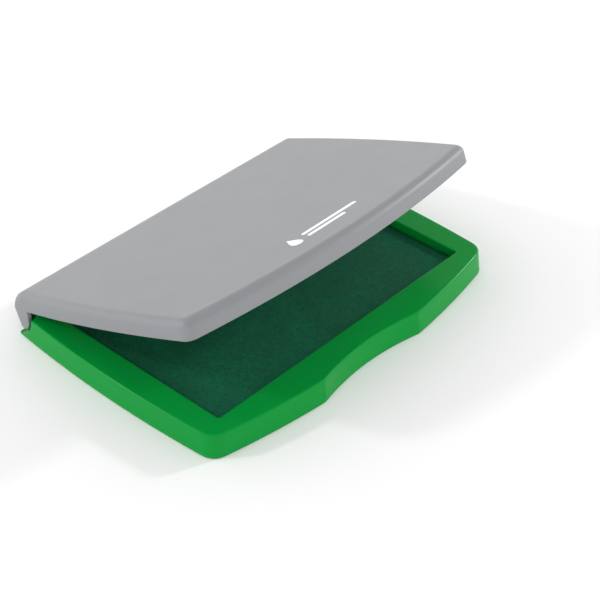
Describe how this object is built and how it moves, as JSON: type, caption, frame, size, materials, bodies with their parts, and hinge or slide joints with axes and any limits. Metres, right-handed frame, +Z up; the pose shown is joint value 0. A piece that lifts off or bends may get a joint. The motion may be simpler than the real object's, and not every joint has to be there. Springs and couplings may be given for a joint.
{
  "type": "ink pad",
  "caption": "Flat desk ink pad: bowed green case with a finger notch, inked cloth pad sunk in a rectangular well, and a grey lid hinged along the back.",
  "frame": {"origin": "on the desk, on the base's underside, under the centre of the inking surface", "axes": "+Z up, +Y from the user towards the hinge, +X to the user's right, along the pad's long side"},
  "size_m": [0.13, 0.096, 0.0466],
  "materials": {
    "green_case": "satin moulded",
    "dark_plastic": "matte moulded",
    "wool_felt": "ink-soaked felt",
    "inked_cloth": "fine woven cotton soaked with ink",
    "grey_lid": "fine spark-eroded grain",
    "pale_insert": "matte moulded",
    "foam_seal": "closed-cell foam"
  },
  "bodies": {
    "base": {"base_shell": "green_case", "base_floor": "green_case", "hem_frame": "dark_plastic", "pad_tray": "dark_plastic", "felt_reservoir": "wool_felt", "felt_top": "wool_felt", "pad_cloth": "inked_cloth"},
    "lid": {"lid_shell": "grey_lid", "lid_insert": "pale_insert", "lid_gasket": "foam_seal"}
  },
  "joints": [
    {"name": "lid_hinge", "type": "hinge", "parent": "base", "child": "lid", "pos_m": [0, 0.0444, 0.0044], "axis": [-1, 0, 0], "range_deg": [-21.3, 73.7]}
  ]
}
